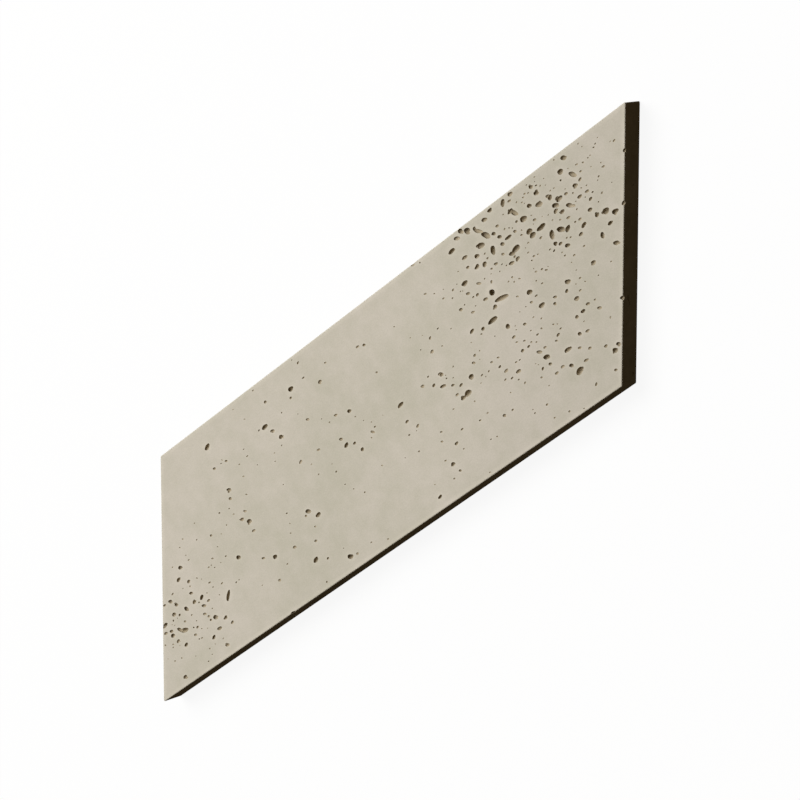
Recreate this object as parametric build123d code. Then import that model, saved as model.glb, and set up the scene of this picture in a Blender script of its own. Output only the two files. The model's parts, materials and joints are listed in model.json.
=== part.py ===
from build123d import *
import math
import os

# Chevron wall panel: one slab of fine concrete, a leaning parallelogram that lies on its back with the cast
# face up. X runs along the long edges, Y square across them and Z out of the cast face.
# The origin is the middle of the flat back, which is glued to the wall.

# Slab, in millimetres and degrees
LENGTH = 500.0  # along a long edge, from end to end
WIDTH = 160.0  # square across, from long edge to long edge
THICKNESS = 20.0  # from the back to the cast face
END_ANGLE = 55.0  # between a long edge and an end: a panel and its mirror image meet in twice this
CORNER_RADIUS = 1.0  # of the four upright corners
FACE_ARRIS = 0.8  # radius that the mould leaves round the cast face
BACK_ARRIS = 0.6  # bevel round the back, where it was struck off

# Air voids that the cast face keeps from its mould, in millimetres
SMALL_MOUTH = 3.2
MIDDLE_MOUTH = 4.0
LARGE_MOUTH = 5.0
VOID_DEPTH = 0.36  # depth of a void as a share of its mouth
VOID_MARGIN = 5.0  # from the edges of the slab to the field that holds the middles of the voids

# Place of each larger void along and across that field, in percent from its lower left corner, and its mouth.
# They gather in two patches, and a long void is two that run together.
LOWER_LEFT_PATCH = [
    (0.8, 38, MIDDLE_MOUTH),
    (3.4, 23, MIDDLE_MOUTH),
    (4.2, 21.5, SMALL_MOUTH),
    (12, 17.5, MIDDLE_MOUTH),
    (15, 24, MIDDLE_MOUTH),
    (15, 22.2, MIDDLE_MOUTH),
]
OPEN_FIELD = [
    (10.3, 92, MIDDLE_MOUTH),
    (24.1, 82.5, MIDDLE_MOUTH),
    (27.9, 73.5, MIDDLE_MOUTH),
    (17.6, 36, MIDDLE_MOUTH),
    (26.3, 25.5, MIDDLE_MOUTH),
    (34.1, 34.5, MIDDLE_MOUTH),
    (36, 12, MIDDLE_MOUTH),
    (43.6, 4, MIDDLE_MOUTH),
    (69.6, 36, LARGE_MOUTH),
]
UPPER_RIGHT_PATCH = [
    (69.3, 100, LARGE_MOUTH),
    (72.2, 90, LARGE_MOUTH),
    (73.3, 93, MIDDLE_MOUTH),
    (74.8, 85, LARGE_MOUTH),
    (74.5, 69, LARGE_MOUTH),
    (77, 63.8, LARGE_MOUTH),
    (79.5, 79, MIDDLE_MOUTH),
    (81.1, 88, MIDDLE_MOUTH),
    (83.6, 94, MIDDLE_MOUTH),
    (84.7, 80, LARGE_MOUTH),
    (86.8, 74, LARGE_MOUTH),
    (88.2, 74.2, MIDDLE_MOUTH),
    (89, 73, SMALL_MOUTH),
    (97.6, 68, LARGE_MOUTH),
]
RIGHT_END_SCATTER = [
    (78, 51, MIDDLE_MOUTH),
    (85, 49.5, MIDDLE_MOUTH),
    (85.9, 28.5, MIDDLE_MOUTH),
    (92.9, 14, LARGE_MOUTH),
    (99.8, 12.5, MIDDLE_MOUTH),
]

END_SLOPE = math.tan(math.radians(END_ANGLE))
MARGIN_ALONG = VOID_MARGIN / math.sin(math.radians(END_ANGLE))  # the margin, measured along a long edge


def leaning_point(along, across, length, width):
    """Plan of a point of a centred parallelogram, by its shares along and across from the lower left corner."""
    y = (across - 0.5) * width
    x = (along - 0.5) * length + y / END_SLOPE
    return x, y


def slab():
    """The plain slab: its outline raised to the thickness, with the corners rounded and the arrises eased."""
    shares = [(0, 0), (1, 0), (1, 1), (0, 1)]
    corners = [leaning_point(along, across, LENGTH, WIDTH) for along, across in shares]
    body = extrude(make_face(Polyline(*corners, close=True)), amount=THICKNESS)
    body = fillet(body.edges().filter_by(Axis.Z), CORNER_RADIUS)
    body = fillet(body.faces().sort_by(Axis.Z)[-1].edges(), FACE_ARRIS)
    return chamfer(body.faces().sort_by(Axis.Z)[0].edges(), BACK_ARRIS)


def bubble(along, across, mouth):
    """The ball of air behind one void, set so high that it cuts the cast face in a ring as wide as the mouth."""
    depth = VOID_DEPTH * mouth
    radius = (mouth**2 / 4 + depth**2) / (2 * depth)
    field_length = LENGTH - 2 * MARGIN_ALONG
    field_width = WIDTH - 2 * VOID_MARGIN
    x, y = leaning_point(along / 100, across / 100, field_length, field_width)
    return Pos(x, y, THICKNESS - depth + radius) * Sphere(radius)


def panel():
    """The slab with the larger air voids open in its cast face."""
    voids = LOWER_LEFT_PATCH + OPEN_FIELD + UPPER_RIGHT_PATCH + RIGHT_END_SCATTER
    return slab() - [bubble(*void) for void in voids]


chevron_panel = panel()
chevron_panel.label = "chevron_panel"
os.makedirs("parts", exist_ok=True)
export_step(chevron_panel, "parts/chevron_panel.step")
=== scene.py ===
"""Looks of the chevron wall panel: a slab of fine concrete, pitted on its face and raw on its edges."""

import json
import math
import random

import bmesh
import bpy
from mathutils import Matrix, Vector


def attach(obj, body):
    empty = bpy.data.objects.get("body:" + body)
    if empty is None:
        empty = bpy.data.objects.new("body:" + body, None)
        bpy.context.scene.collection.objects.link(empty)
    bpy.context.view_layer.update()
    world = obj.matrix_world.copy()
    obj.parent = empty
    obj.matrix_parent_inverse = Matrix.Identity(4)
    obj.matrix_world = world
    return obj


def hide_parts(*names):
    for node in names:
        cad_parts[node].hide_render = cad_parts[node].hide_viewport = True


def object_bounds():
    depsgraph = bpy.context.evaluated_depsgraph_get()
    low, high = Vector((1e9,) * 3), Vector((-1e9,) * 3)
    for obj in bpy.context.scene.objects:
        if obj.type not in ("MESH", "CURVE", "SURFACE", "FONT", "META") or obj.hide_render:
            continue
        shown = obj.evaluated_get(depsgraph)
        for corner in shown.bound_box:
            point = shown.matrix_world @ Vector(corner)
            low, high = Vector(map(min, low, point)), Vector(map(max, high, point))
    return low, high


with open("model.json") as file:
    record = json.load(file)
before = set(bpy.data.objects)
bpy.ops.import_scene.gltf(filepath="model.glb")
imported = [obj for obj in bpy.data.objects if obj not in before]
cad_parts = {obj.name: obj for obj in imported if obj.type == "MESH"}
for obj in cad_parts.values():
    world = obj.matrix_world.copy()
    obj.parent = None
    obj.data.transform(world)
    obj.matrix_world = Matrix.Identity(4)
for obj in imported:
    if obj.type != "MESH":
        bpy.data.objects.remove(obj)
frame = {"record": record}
cad_low, cad_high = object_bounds()

MM = 0.001
NODE = "chevron_panel"

# The slab's sizes, read from the frame
MOUNTS = {mount["name"]: mount for mount in frame["record"]["mounts"]}
LENGTH = MOUNTS["right_end"]["pos_m"][0] - MOUNTS["left_end"]["pos_m"][0]
WIDTH = cad_high.y - cad_low.y
THICKNESS = cad_high.z - cad_low.z
OUT_OF_END = Vector(MOUNTS["right_end"]["axis"])
ALONG_END = Vector((-OUT_OF_END.y, OUT_OF_END.x, 0))
UP = Vector((0, 0, 1))
LEAN = WIDTH * ALONG_END.x / ALONG_END.y
END_ANGLE = math.atan2(ALONG_END.y, ALONG_END.x)

# Its eased corners, by how far from the corner the rounding starts, and its eased arrises
SHARP_CORNER = 2.27 * MM
BLUNT_CORNER = 0.53 * MM
FACE_ARRIS = 0.8 * MM
BACK_ARRIS = 0.6 * MM

# How far a point may lie off the plane of the face or the back and still count as on it
ON_PLANE = 0.1 * MM

# The upward part of a normal from which it belongs to the face, or with a minus to the back
FACING = 0.2

# Faces that turn by less than this are shaded as one, and flat faces lie this near to square
SMOOTH_BELOW = math.radians(35)
FLAT_FROM = 0.999

# The skin is paler this near to arrises and voids, partly rubbed paste and partly a painted highlight on
# the rims, and has painted shade for the light's falloff between these distances from the middle towards
# the right end
RIM_WIDTH = 4 * MM
END_SHADE_FROM = 40 * MM
END_SHADE_TO = 145 * MM

# Air voids of the cast face, placed from the photograph: percent along and across the face, from its
# lower left corner
DARKEST_VOIDS = [(73.9, 67.7)]
LARGE_VOIDS = [
    (68.8, 97.0), (72.7, 90.0), (71.7, 87.6), (74.2, 82.6), (83.9, 77.9), (86.0, 72.4), (87.7, 72.1),
    (96.5, 66.6), (69.2, 37.0), (91.8, 16.2), (78.8, 77.0), (80.3, 85.6),
]
DEEP_VOIDS = [
    # open left field
    (11.3, 89.6), (24.7, 80.6), (28.4, 72.0), (30.7, 87.6), (21.0, 48.2), (18.4, 37.0), (26.9, 27.0),
    (12.9, 19.6),
    # lower left patch
    (15.9, 24.8), (5.9, 31.2), (2.0, 38.9), (0.7, 30.8), (2.5, 24.4), (4.3, 24.6), (5.4, 23.2),
    # middle field
    (34.5, 35.5), (36.8, 31.4), (36.2, 14.6), (43.9, 6.6),
    # upper right patch
    (65.6, 93.7), (67.4, 98.6), (70.9, 84.8), (72.5, 79.8), (68.4, 78.3), (76.1, 97.0), (78.4, 90.4),
    (81.5, 79.6), (82.2, 77.4), (82.8, 91.4), (83.4, 86.7), (85.5, 86.2), (86.6, 82.0), (87.3, 83.3),
    (87.5, 92.7), (89.4, 78.2), (89.1, 70.3), (88.1, 96.7), (90.0, 88.3), (95.9, 58.8), (98.3, 64.1),
    (98.6, 52.6),
    # right end
    (76.0, 62.9), (74.2, 57.2), (77.3, 50.9), (81.6, 57.6), (84.1, 49.6), (69.8, 42.2), (85.1, 29.8),
    (89.4, 26.8), (98.6, 14.7),
]
COMMON_VOIDS = [
    # open left field
    (26.5, 76.7), (16.3, 66.4), (19.3, 51.0), (15.6, 5.3), (5.4, 4.2),
    # lower left patch
    (15.2, 16.7), (13.8, 14.1), (12.4, 12.2), (4.5, 49.6), (4.0, 45.3), (6.5, 41.7), (7.0, 36.4),
    (3.5, 35.7), (2.9, 32.6), (7.8, 31.8), (9.5, 31.7), (10.1, 27.6), (2.2, 26.5), (3.8, 20.6),
    (5.7, 17.0),
    # middle field
    (37.3, 82.0), (43.8, 62.5), (43.1, 50.4), (46.6, 44.4), (54.9, 50.7), (63.6, 51.0), (63.9, 46.3),
    (63.4, 5.6), (66.1, 14.5), (68.2, 36.4),
    # upper right patch
    (66.7, 96.9), (71.1, 93.7), (68.4, 87.7), (70.9, 80.9), (72.4, 96.0), (73.4, 98.0), (74.3, 88.4),
    (75.5, 85.6), (76.1, 82.3), (74.7, 61.5), (77.6, 98.2), (77.6, 92.0), (77.3, 83.1), (78.1, 76.2),
    (78.0, 72.9), (79.2, 72.9), (81.4, 88.8), (81.7, 95.1), (86.7, 79.8), (88.0, 77.8), (86.7, 68.2),
    (89.1, 64.4), (90.5, 83.7), (91.4, 78.6), (91.7, 64.9), (92.2, 67.5), (93.4, 71.3), (94.8, 67.5),
    (97.3, 61.3),
    # right end
    (69.9, 58.8), (72.2, 56.7), (89.2, 51.4), (94.2, 51.6), (79.5, 31.7), (83.7, 33.3), (91.0, 43.0),
    (91.1, 36.3), (92.3, 36.8), (91.7, 29.5), (90.1, 20.2), (99.2, 16.2),
]
FAINT_VOIDS = [
    # open left field
    (12.9, 79.0), (15.7, 78.5), (24.9, 90.0), (30.7, 84.2), (16.6, 62.5), (12.0, 53.5), (20.0, 53.4),
    (22.0, 43.3), (32.9, 56.8), (24.2, 29.7), (27.9, 16.6), (31.4, 25.3),
    # lower left patch
    (0.6, 39.0), (4.2, 30.8), (0.8, 27.3), (5.5, 26.7), (8.5, 20.8), (8.0, 18.3), (11.2, 28.4),
    (10.3, 24.0), (11.2, 22.0), (11.7, 20.0), (16.8, 13.0),
    # middle field
    (34.0, 34.3), (36.2, 22.0), (38.9, 11.9), (34.5, 71.1), (40.8, 64.8), (36.9, 56.4), (41.9, 54.2),
    (44.9, 48.9), (48.9, 48.1), (45.5, 5.8), (45.6, 84.6), (47.0, 83.4), (56.3, 42.7), (58.6, 38.2),
    (59.6, 51.7), (61.6, 62.0), (61.2, 67.6), (62.0, 49.0), (66.0, 43.9), (67.7, 41.8), (66.9, 39.3),
    (67.6, 10.2), (66.8, 21.3),
    # upper right patch
    (67.6, 69.7), (69.0, 83.3), (69.1, 73.6), (70.1, 65.5), (70.3, 95.7), (71.0, 70.7), (71.3, 74.4),
    (72.7, 66.8), (73.9, 71.6), (74.8, 76.9), (75.0, 90.2), (76.2, 78.5), (77.4, 96.0), (78.6, 83.5),
    (78.6, 74.4), (78.9, 86.6), (82.5, 82.4), (83.8, 74.2), (87.7, 66.9), (88.7, 83.3), (89.2, 74.1),
    (90.2, 77.0), (91.4, 84.6), (91.5, 70.5), (92.8, 78.5), (93.5, 74.9),
    # right end
    (70.5, 49.2), (70.3, 46.7), (78.5, 45.5), (80.7, 47.3), (82.0, 53.5), (75.7, 38.3), (77.0, 35.2),
    (80.3, 38.2), (81.5, 38.2), (86.7, 49.2), (86.7, 46.8), (89.0, 48.3), (93.2, 38.2), (95.5, 33.8),
    (84.8, 33.6), (87.4, 34.7), (84.4, 26.4), (85.9, 26.2), (87.2, 21.2), (88.4, 22.0), (91.7, 24.5),
    (93.2, 28.6), (93.7, 21.8), (93.0, 18.4), (96.8, 18.5), (98.8, 7.4), (95.0, 7.2), (76.7, 19.2),
]
# Voids with a shape of their own: direction in degrees from the long edge, and length over width
SHAPED_VOIDS = {
    (4.3, 24.6): (-50, 2.0),
    (5.4, 23.2): (-13, 2.2),
    (5.9, 31.2): (-55, 1.5),
    (12.9, 19.6): (-30, 1.5),
    (15.9, 24.8): (46, 3.2),
    (43.9, 6.6): (-25, 1.7),
    (54.9, 50.7): (8, 2.5),
    (63.9, 46.3): (-12, 2.2),
    (65.6, 93.7): (3, 1.9),
    (68.4, 78.3): (-5, 1.7),
    (68.4, 87.7): (5, 2.2),
    (69.9, 58.8): (15, 1.8),
    (71.1, 93.7): (-45, 2.7),
    (72.5, 79.8): (10, 1.3),
    (72.7, 90.0): (-45, 1.8),
    (73.9, 67.7): (0, 1.0),
    (74.2, 57.2): (5, 2.7),
    (74.2, 82.6): (65, 1.5),
    (76.1, 97.0): (45, 1.6),
    (76.0, 62.9): (-8, 3.6),
    (77.3, 50.9): (-25, 1.2),
    (77.3, 83.1): (0, 2.4),
    (78.0, 72.9): (-12, 1.9),
    (78.4, 90.4): (-55, 2.2),
    (80.3, 85.6): (4, 1.5),
    (83.9, 77.9): (4, 2.1),
    (85.1, 29.8): (-20, 1.5),
    (86.0, 72.4): (63, 1.9),
    (87.7, 72.1): (-33, 1.5),
    (89.4, 26.8): (4, 2.4),
    (89.4, 78.2): (-33, 1.7),
    (91.8, 16.2): (15, 2.1),
    (95.9, 58.8): (70, 1.3),
}
# Voids that break the arris: place along and across, as above
ARRIS_VOIDS = [(100.0, 31.4), (100.0, 64.8), (31.0, 0.0), (57.5, 100.0), (100.0, 83.0)]

# Mouths of the voids in millimetres, and how deep the middle of the bubble lies under the face in radii
DARKEST = {"mouth": (4.8, 5.2), "sink": (0.5, 0.6)}
LARGE = {"mouth": (3.9, 4.4), "sink": (0.1, 0.4)}
DEEP = {"mouth": (3.0, 3.6), "sink": (0.1, 0.4)}
COMMON = {"mouth": (2.4, 2.9), "sink": (0.0, 0.4)}
FAINT = {"mouth": (1.7, 2.3), "sink": (-0.3, 0.2)}
FINE = {"mouth": (0.7, 1.5), "sink": (-0.3, 0.3)}

# How all other voids lie: least and most length over width, and mean and spread of the direction in degrees
USUAL_STRETCH = (1.3, 2.0)
USUAL_TURN = (-7, 15)

# Share of the larger voids that have a second lobe, its width in widths of the void, and its place in radii
LOBE_SHARE = 0.45
LOBE_WIDTH = (0.45, 0.7)
LOBE_PLACE = 0.95

# Uneven balls that the bubbles are made of: those of the placed voids, and those of the fine and edge voids
PLACED_BALLS = {"count": 16, "subdivisions": 2, "push": 0.15}
SMALL_BALLS = {"count": 8, "subdivisions": 1, "push": 0.2}

# How far the lumps of a bubble reach at most, in radii
LUMP_REACH = 1.35

# Seed of all that is drawn at random
SEED = 7

# Fine voids: middle and spread of each patch in percent along and across, and their number
FINE_PATCHES = [
    ((81, 83), (8, 11), 300),
    ((85, 40), (9, 16), 90),
    ((7, 28), (5, 12), 80),
    ((60, 47), (12, 12), 40),
    ((28, 60), (12, 25), 40),
    ((50, 50), (60, 60), 120),
]
# The part of the face that they keep to, in percent along and across
FINE_ALONG = (0.6, 99.4)
FINE_ACROSS = (1.5, 98.5)

# Voids in the edges: their number, and the part of each edge's run and height that they keep to
EDGE_VOIDS = {"lower_edge": 26, "upper_edge": 26, "left_end": 10, "right_end": 10}
EDGE_RUN = (-0.48, 0.48)
EDGE_HEIGHT = (0.15, 0.85)

# Studio: the floor in metres, the key light in metres and watts, and the camera's place, aim, lens and
# how far it sees
FLOOR_SIZE = 30
FLOOR_DROP = 0.2 * MM
KEY_DIRECTION = OUT_OF_END * -0.5 + ALONG_END * 0.35 + UP * 0.8
KEY_DISTANCE = 8
KEY_SIZE = 6.6
KEY_POWER = 826
FACE_MIDDLE = Vector((0, 0, THICKNESS))
CAMERA_PLACE = FACE_MIDDLE + OUT_OF_END * 1.205 + ALONG_END * 0.361 + UP * 1.718
CAMERA_AIM = FACE_MIDDLE + OUT_OF_END * 0.0196 + ALONG_END * 0.0191
LENS_MM = 131.5
VIEW_END = 50


def choose_by_place(piece, accepts):
    """In edit mode, select only the faces of a piece whose middle and normal a test accepts."""
    mesh = bmesh.from_edit_mesh(piece.data)
    for face in mesh.faces:
        face.select_set(False)
    for face in mesh.faces:
        if accepts(face.calc_center_median(), face.normal):
            face.select_set(True)
    bmesh.update_edit_mesh(piece.data)


def choose_edges(piece, accepts):
    """In edit mode, select only the edges of a piece whose two ends a test accepts."""
    mesh = bmesh.from_edit_mesh(piece.data)
    for face in mesh.faces:
        face.select_set(False)
    for edge in mesh.edges:
        edge.select_set(False)
    for edge in mesh.edges:
        if accepts(edge.verts[0].co, edge.verts[1].co):
            edge.select_set(True)
    bmesh.update_edit_mesh(piece.data)


def on_face(along, across):
    """The point of the cast face at these percents along and across, from the lower left corner."""
    y = (across / 100 - 0.5) * WIDTH
    x = (along / 100 - 0.5) * LENGTH + y * LEAN / WIDTH
    return Vector((x, y, THICKNESS))


def plain_slab():
    """The slab without voids: a cube made into a leaning parallelogram, with eased corners and arrises."""
    bpy.ops.object.select_all(action="DESELECT")
    bpy.ops.mesh.primitive_cube_add(size=1, location=(0, 0, THICKNESS / 2))
    slab = bpy.context.object
    slab.name = "cast_panel"
    slab.scale = (LENGTH, WIDTH, THICKNESS)
    bpy.ops.object.transform_apply(location=True, rotation=False, scale=True)
    bpy.ops.object.mode_set(mode="EDIT")
    bpy.ops.mesh.select_mode(type="FACE")
    for side in (-1, 1):
        choose_by_place(slab, lambda middle, normal: normal.y * side > 0.5)
        bpy.ops.transform.translate(value=(side * LEAN / 2, 0, 0))
    bpy.ops.mesh.select_mode(type="EDGE")
    for sharp, reach in ((True, SHARP_CORNER), (False, BLUNT_CORNER)):
        choose_edges(slab, lambda a, b: abs(a.z - b.z) > THICKNESS / 2 and (abs(a.x) > LENGTH / 2) == sharp)
        bpy.ops.mesh.bevel(offset=reach, segments=5, affect="EDGES")
    choose_edges(slab, lambda a, b: min(a.z, b.z) > THICKNESS - ON_PLANE)
    bpy.ops.mesh.bevel(offset=FACE_ARRIS, segments=4, affect="EDGES")
    choose_edges(slab, lambda a, b: max(a.z, b.z) < ON_PLANE)
    bpy.ops.mesh.bevel(offset=BACK_ARRIS, segments=1, affect="EDGES")
    bpy.ops.object.mode_set(mode="OBJECT")
    return slab


def lumpy_balls(count, subdivisions, push):
    """Balls of radius 1 that are pushed out of round as trapped air is: the points and faces of each."""
    balls = []
    for number in range(count):
        bpy.ops.object.select_all(action="DESELECT")
        bpy.ops.mesh.primitive_ico_sphere_add(subdivisions=1, radius=1)
        ball = bpy.context.object
        bpy.ops.object.mode_set(mode="EDIT")
        bpy.ops.mesh.select_all(action="SELECT")
        for level in range(subdivisions):
            lumps = push / 2**level
            bpy.ops.transform.vertex_random(offset=lumps, uniform=0.0, normal=1.0, seed=number)
            bpy.ops.mesh.subdivide(number_cuts=1, smoothness=0.8)
        bpy.ops.object.mode_set(mode="OBJECT")
        points = [vertex.co.copy() for vertex in ball.data.vertices]
        size = sum(point.length for point in points) / len(points)
        faces = [tuple(polygon.vertices) for polygon in ball.data.polygons]
        balls.append(([point / size for point in points], faces))
        bpy.data.objects.remove(ball)
    return balls


class Bubble:
    """A bubble of trapped air: where it breaks the surface, which way is out, its mouth and its lie."""

    def __init__(self, chance, mouth_at, out, kind, turn=None, stretch=None):
        mouth = chance.uniform(*kind["mouth"]) * MM
        sink = chance.uniform(*kind["sink"])
        self.radius = mouth / 2 / math.sqrt(1 - sink**2)
        self.stretch = chance.uniform(*USUAL_STRETCH) if stretch is None else stretch
        self.turn = math.radians(chance.gauss(*USUAL_TURN) if turn is None else turn)
        self.mouth_at = mouth_at
        self.middle = mouth_at - out * sink * self.radius
        self.out = out
        self.shape = chance.randrange(1000)
        self.reach = self.radius * self.stretch * LUMP_REACH

    def matrix(self):
        lie = self.out.to_track_quat("Z", "Y").to_matrix().to_4x4()
        size = Matrix.Diagonal((self.radius * self.stretch, self.radius, self.radius, 1))
        return Matrix.Translation(self.middle) @ lie @ Matrix.Rotation(self.turn, 4, "Z") @ size

    def lobe(self, chance):
        """A smaller bubble that ran into this one, so that the mouth isn't a plain oval."""
        side = Vector((chance.uniform(-1, 1), chance.uniform(-1, 1), 0)).normalized()
        width = 2 * self.radius / MM
        kind = {"mouth": [share * width for share in LOBE_WIDTH], "sink": FAINT["sink"]}
        return Bubble(chance, self.mouth_at + side * self.radius * LOBE_PLACE, self.out, kind)

    def clear_of(self, other):
        return (self.middle - other.middle).length > self.reach + other.reach


def face_bubbles(chance):
    """The voids that are placed on the cast face and its arrises, some with a second lobe."""
    bubbles = []
    kinds = [
        (DARKEST_VOIDS, DARKEST),
        (LARGE_VOIDS, LARGE),
        (DEEP_VOIDS, DEEP),
        (COMMON_VOIDS, COMMON),
        (FAINT_VOIDS, FAINT),
    ]
    for places, kind in kinds:
        for place in places:
            turn, stretch = SHAPED_VOIDS.get(place, (None, None))
            bubble = Bubble(chance, on_face(*place), UP, kind, turn, stretch)
            bubbles.append(bubble)
            if kind is not FAINT and place not in SHAPED_VOIDS and chance.random() < LOBE_SHARE:
                bubbles.append(bubble.lobe(chance))
    for place in ARRIS_VOIDS:
        bubbles.append(Bubble(chance, on_face(*place), UP, COMMON))
    return bubbles


def fine_bubbles(chance, taken):
    """Fine voids, scattered in patches and kept off the larger ones."""
    fine = []
    for middle, spread, count in FINE_PATCHES:
        for _ in range(count):
            along = chance.gauss(middle[0], spread[0])
            across = chance.gauss(middle[1], spread[1])
            inside_ends = FINE_ALONG[0] < along < FINE_ALONG[1]
            inside_edges = FINE_ACROSS[0] < across < FINE_ACROSS[1]
            if not (inside_ends and inside_edges):
                continue
            bubble = Bubble(chance, on_face(along, across), UP, FINE)
            if all(bubble.clear_of(other) for other in taken + fine):
                fine.append(bubble)
    return fine


def edge_bubbles(chance):
    """A few voids in the four edges, where the mould's sides held air."""
    bubbles = []
    for name, count in EDGE_VOIDS.items():
        out = Vector(MOUNTS[name]["axis"])
        along = UP.cross(out)
        run = LENGTH if "edge" in name else WIDTH / math.sin(END_ANGLE)
        for _ in range(count):
            place = Vector(MOUNTS[name]["pos_m"]) + along * chance.uniform(*EDGE_RUN) * run
            place.z = chance.uniform(*EDGE_HEIGHT) * THICKNESS
            bubbles.append(Bubble(chance, place, out, chance.choice((COMMON, FAINT, FINE, FINE))))
    return bubbles


def in_batches(bubbles):
    """Bubbles in batches within which none meets another, so that each batch can be cut in one go."""
    batches = []
    for bubble in bubbles:
        for batch in batches:
            if all(bubble.clear_of(other) for other in batch):
                batch.append(bubble)
                break
        else:
            batches.append([bubble])
    return batches


def cutter_of(bubbles, balls, material):
    """One mesh of all these bubbles."""
    points = []
    faces = []
    for bubble in bubbles:
        ball_points, ball_faces = balls[bubble.shape % len(balls)]
        first = len(points)
        matrix = bubble.matrix()
        points.extend(matrix @ point for point in ball_points)
        faces.extend(tuple(first + corner for corner in face) for face in ball_faces)
    mesh = bpy.data.meshes.new("bubbles")
    mesh.from_pydata(points, [], faces)
    mesh.materials.append(material)
    cutter = bpy.data.objects.new("bubbles", mesh)
    bpy.context.collection.objects.link(cutter)
    return cutter


def cut(slab, bubbles, balls, material):
    """Cut bubbles out of the slab. The walls of the voids get the cutter's material."""
    for batch in in_batches(bubbles):
        cutter = cutter_of(batch, balls, material)
        bpy.ops.object.select_all(action="DESELECT")
        slab.select_set(True)
        bpy.context.view_layer.objects.active = slab
        boolean = slab.modifiers.new("voids", "BOOLEAN")
        boolean.operation = "DIFFERENCE"
        boolean.solver = "EXACT"
        boolean.material_mode = "TRANSFER"
        boolean.object = cutter
        bpy.ops.object.modifier_apply(modifier=boolean.name)
        bpy.data.objects.remove(cutter)


def linear(hex_code):
    """Linear colour of an sRGB hex value."""
    channels = [int(hex_code[i : i + 2], 16) / 255 for i in (0, 2, 4)]
    return (*[c / 12.92 if c <= 0.04045 else ((c + 0.055) / 1.055) ** 2.4 for c in channels], 1)


def add(tree, kind, inputs=None, **settings):
    """Add a node with its settings. An input given as a socket is linked to it, and any other is set."""
    made = tree.nodes.new(kind)
    for name, value in settings.items():
        setattr(made, name, value)
    for name, value in (inputs or {}).items():
        if isinstance(value, bpy.types.NodeSocket):
            tree.links.new(value, made.inputs[name])
        else:
            made.inputs[name].default_value = value
    return made


def per_metre(size_mm):
    """Scale of a pattern whose grains are this big."""
    return 1 / (size_mm * MM)


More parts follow.
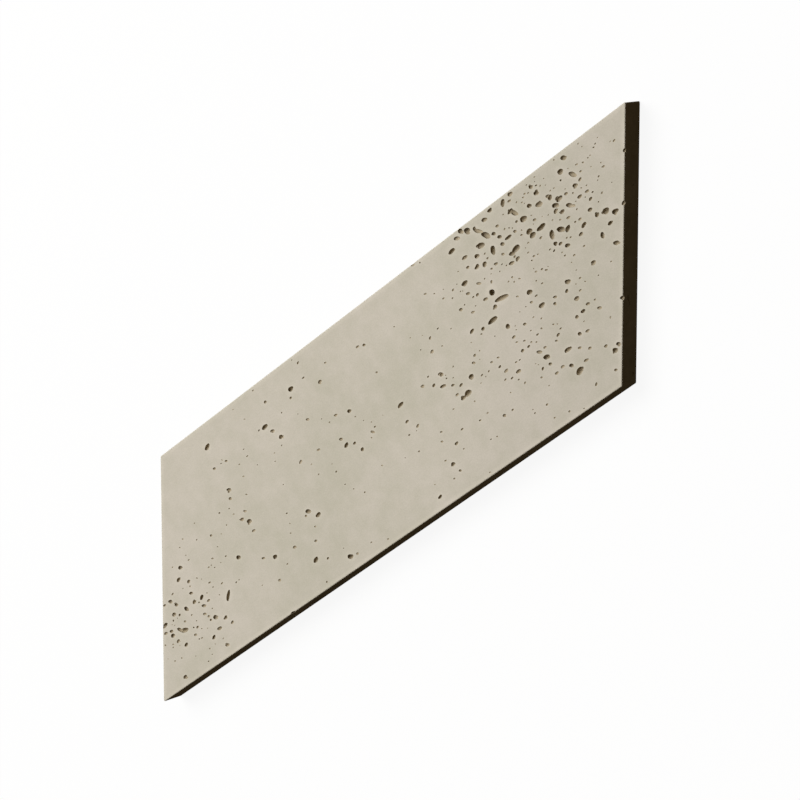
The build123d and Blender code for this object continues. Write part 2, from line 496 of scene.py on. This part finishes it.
def concrete(
    name,
    pale,
    dark,
    roughness,
    gloss,
    cloud_mm,
    mottle_mm,
    grain_mm,
    relief_mm,
    drag=1,
    rim=1.0,
    end=1.0,
):
    """Concrete: two tones that drift in clouds, a finer mottle, sandy grain in colour and relief, matte.

    Drag draws the mottle out along the panel and gives it relief. Rim is how bright the concrete is along
    arrises and voids, partly rubbed paste and partly a painted highlight, and end how bright it is at the
    right end, a painted shade for the light's falloff there, both as a share of the rest.
    """
    material = bpy.data.materials.new(name)
    material.use_nodes = True
    tree = material.node_tree
    tree.nodes.clear()
    place = add(tree, "ShaderNodeTexCoord").outputs["Object"]
    clouds = add(
        tree,
        "ShaderNodeTexNoise",
        {"Vector": place, "Scale": per_metre(cloud_mm), "Detail": 3.0, "Roughness": 0.5},
    )
    drawn_out = add(tree, "ShaderNodeMapping", {"Vector": place, "Scale": (1 / drag, 1, 1)})
    mottle = add(
        tree,
        "ShaderNodeTexNoise",
        {
            "Vector": drawn_out.outputs["Vector"],
            "Scale": per_metre(mottle_mm),
            "Detail": 4.0,
            "Roughness": 0.6,
        },
    )
    grain = add(
        tree,
        "ShaderNodeTexNoise",
        {"Vector": place, "Scale": per_metre(grain_mm), "Detail": 2.0, "Roughness": 0.7},
    )
    drift = add(
        tree,
        "ShaderNodeMath",
        {0: clouds.outputs["Fac"], 1: mottle.outputs["Fac"]},
        operation="ADD",
    )
    tone = add(
        tree,
        "ShaderNodeMapRange",
        {"Value": drift.outputs[0], "From Min": 0.75, "From Max": 1.25},
    )
    base = add(
        tree,
        "ShaderNodeMix",
        {"Factor": tone.outputs["Result"], "A": linear(dark), "B": linear(pale)},
        data_type="RGBA",
    )
    sandy = add(
        tree,
        "ShaderNodeMapRange",
        {
            "Value": grain.outputs["Fac"],
            "From Min": 0.3,
            "From Max": 0.7,
            "To Min": 0.95,
            "To Max": 1.045,
        },
    )
    bright = sandy.outputs["Result"]
    # Paler skin near arrises and void rims: partly rubbed paste, partly a painted highlight on the rims
    if rim != 1.0:
        thin = add(
            tree,
            "ShaderNodeAmbientOcclusion",
            {"Distance": RIM_WIDTH},
            inside=True,
            only_local=True,
            samples=8,
        )
        wear_and_highlight = add(
            tree,
            "ShaderNodeMapRange",
            {"Value": thin.outputs["AO"], "From Min": 1.0, "From Max": 0.85, "To Min": 1.0, "To Max": rim},
        )
        rimmed = add(
            tree,
            "ShaderNodeMath",
            {0: bright, 1: wear_and_highlight.outputs["Result"]},
            operation="MULTIPLY",
        )
        bright = rimmed.outputs[0]
    # Painted shade: the skin darkens towards the right end, standing in for the light falling off there
    if end != 1.0:
        outward = add(tree, "ShaderNodeVectorMath", {0: place, 1: OUT_OF_END}, operation="DOT_PRODUCT")
        end_shade = add(
            tree,
            "ShaderNodeMapRange",
            {
                "Value": outward.outputs["Value"],
                "From Min": END_SHADE_FROM,
                "From Max": END_SHADE_TO,
                "To Min": 1.0,
                "To Max": end,
            },
            interpolation_type="SMOOTHSTEP",
        )
        end_shaded = add(
            tree,
            "ShaderNodeMath",
            {0: bright, 1: end_shade.outputs["Result"]},
            operation="MULTIPLY",
        )
        bright = end_shaded.outputs[0]
    speckled = add(
        tree,
        "ShaderNodeVectorMath",
        {0: base.outputs["Result"], "Scale": bright},
        operation="SCALE",
    )
    height = grain.outputs["Fac"]
    if drag != 1:
        dragged = add(
            tree,
            "ShaderNodeMath",
            {0: height, 1: mottle.outputs["Fac"]},
            operation="ADD",
        )
        height = dragged.outputs[0]
    relief = add(
        tree,
        "ShaderNodeBump",
        {"Height": height, "Strength": 0.5, "Distance": relief_mm * MM},
    )
    shader = add(
        tree,
        "ShaderNodeBsdfPrincipled",
        {
            "Base Color": speckled.outputs["Vector"],
            "Roughness": roughness,
            "Normal": relief.outputs["Normal"],
            "Specular IOR Level": gloss,
        },
    )
    add(tree, "ShaderNodeOutputMaterial", {"Surface": shader.outputs["BSDF"]})
    return material


def dressed_panel():
    """The finished piece: the slab with its materials and voids, standing for the solid of the frame."""
    # Smooth from the mould, ivory, matte, with faint clouds and fine sand in the skin
    cast_skin = concrete(
        "cast_concrete_skin",
        pale="CAC3B6",
        dark="BFBAAA",
        roughness=0.75,
        gloss=0.1,
        cloud_mm=90,
        mottle_mm=14,
        grain_mm=1.1,
        relief_mm=0.08,
        # Paler near arrises and voids: partly rubbed paste, partly a painted highlight
        rim=1.07,
        # Painted shade, darker towards the right end
        end=0.95,
    )
    # Raw edge of the pour, a little darker than the skin and rougher
    raw_edge = concrete(
        "raw_concrete_edge",
        pale="C2B8A6",
        dark="AEA490",
        roughness=0.9,
        gloss=0.0,
        cloud_mm=40,
        mottle_mm=7,
        grain_mm=1.0,
        relief_mm=0.25,
    )
    # Struck-off back, grey cement with drag marks
    struck_back = concrete(
        "struck_concrete_back",
        pale="B3AB9B",
        dark="9C9484",
        roughness=0.9,
        gloss=0.0,
        cloud_mm=60,
        mottle_mm=9,
        grain_mm=1.2,
        relief_mm=0.5,
        drag=3,
    )
    # Walls of the air voids, unskinned and dusty
    void_wall = concrete(
        "concrete_void_wall",
        pale="AFA38D",
        dark="988C74",
        roughness=0.9,
        gloss=0.0,
        cloud_mm=20,
        mottle_mm=4,
        grain_mm=0.6,
        relief_mm=0.15,
    )

    slab = plain_slab()
    for material in (cast_skin, raw_edge, struck_back):
        slab.data.materials.append(material)
    for polygon in slab.data.polygons:
        if polygon.normal.z > FACING:
            polygon.material_index = 0
        elif polygon.normal.z < -FACING:
            polygon.material_index = 2
        else:
            polygon.material_index = 1

    chance = random.Random(SEED)
    placed = face_bubbles(chance)
    small = fine_bubbles(chance, placed) + edge_bubbles(chance)
    cut(slab, placed, lumpy_balls(**PLACED_BALLS), void_wall)
    cut(slab, small, lumpy_balls(**SMALL_BALLS), void_wall)

    bpy.ops.object.select_all(action="DESELECT")
    slab.select_set(True)
    bpy.context.view_layer.objects.active = slab
    bpy.ops.object.shade_smooth_by_angle(angle=SMOOTH_BELOW)
    outer = {cast_skin.name, raw_edge.name, struck_back.name}
    for polygon in slab.data.polygons:
        normal = polygon.normal
        square = max(abs(normal.z), abs(normal.y), abs(normal.dot(OUT_OF_END)))
        if slab.data.materials[polygon.material_index].name in outer and square > FLAT_FROM:
            polygon.use_smooth = False
    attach(slab, "root")
    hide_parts(NODE)
    return slab


def floor_and_light():
    """A white floor that keeps the soft shadow, a large key light from the upper left, and a faint sky."""
    bpy.ops.object.select_all(action="DESELECT")
    bpy.ops.mesh.primitive_plane_add(size=FLOOR_SIZE, location=(0, 0, -FLOOR_DROP))
    floor = bpy.context.object
    floor.name = "studio_floor"
    material = bpy.data.materials.new("white_studio_floor")
    material.use_nodes = True
    tree = material.node_tree
    tree.nodes.clear()
    # White to the camera and in mirrors, dark in the light that it throws back on the panel
    path = add(tree, "ShaderNodeLightPath")
    seen = add(
        tree,
        "ShaderNodeMath",
        {0: path.outputs["Is Camera Ray"], 1: path.outputs["Is Glossy Ray"]},
        operation="MAXIMUM",
    )
    seen = add(
        tree,
        "ShaderNodeMath",
        {0: seen.outputs[0], 1: path.outputs["Is Transmission Ray"]},
        operation="MAXIMUM",
    )
    paper = add(tree, "ShaderNodeBsdfDiffuse", {"Color": linear("F8F8F8")})
    glow = add(tree, "ShaderNodeEmission", {"Color": linear("FFFFFF"), "Strength": 1.0})
    white = add(
        tree,
        "ShaderNodeMixShader",
        {"Fac": 0.92, 1: paper.outputs["BSDF"], 2: glow.outputs["Emission"]},
    )
    dull = add(tree, "ShaderNodeBsdfDiffuse", {"Color": linear("1E1A13")})
    both = add(
        tree,
        "ShaderNodeMixShader",
        {"Fac": seen.outputs[0], 1: dull.outputs["BSDF"], 2: white.outputs["Shader"]},
    )
    add(tree, "ShaderNodeOutputMaterial", {"Surface": both.outputs["Shader"]})
    floor.data.materials.append(material)

    towards = KEY_DIRECTION.normalized()
    bpy.ops.object.light_add(type="AREA", location=towards * KEY_DISTANCE)
    key = bpy.context.object
    key.name = "key_light"
    key.rotation_euler = towards.to_track_quat("Z", "Y").to_euler()
    key.data.shape = "DISK"
    key.data.size = KEY_SIZE
    key.data.energy = KEY_POWER

    world = bpy.data.worlds.new("studio")
    bpy.context.scene.world = world
    world.use_nodes = True
    tree = world.node_tree
    tree.nodes.clear()
    path = add(tree, "ShaderNodeLightPath")
    sky = add(tree, "ShaderNodeBackground", {"Color": linear("FFE4B6"), "Strength": 0.08})
    backdrop = add(tree, "ShaderNodeBackground", {"Color": linear("FFFFFF"), "Strength": 1.0})
    both = add(
        tree,
        "ShaderNodeMixShader",
        {
            "Fac": path.outputs["Is Camera Ray"],
            1: sky.outputs["Background"],
            2: backdrop.outputs["Background"],
        },
    )
    add(tree, "ShaderNodeOutputWorld", {"Surface": both.outputs["Shader"]})


def camera():
    """The photograph's point of view: right of the panel and above it, its ends upright in the picture."""
    back = (CAMERA_PLACE - CAMERA_AIM).normalized()
    right = ALONG_END.cross(back).normalized()
    turned = Matrix((right, back.cross(right), back)).transposed()
    bpy.ops.object.camera_add(location=CAMERA_PLACE, rotation=turned.to_euler())
    made = bpy.context.object
    made.name = "photo_view"
    made.data.lens = LENS_MM
    made.data.clip_end = VIEW_END
    bpy.context.scene.camera = made


dressed_panel()
floor_and_light()
camera()
bpy.context.scene.view_settings.view_transform = "Standard"
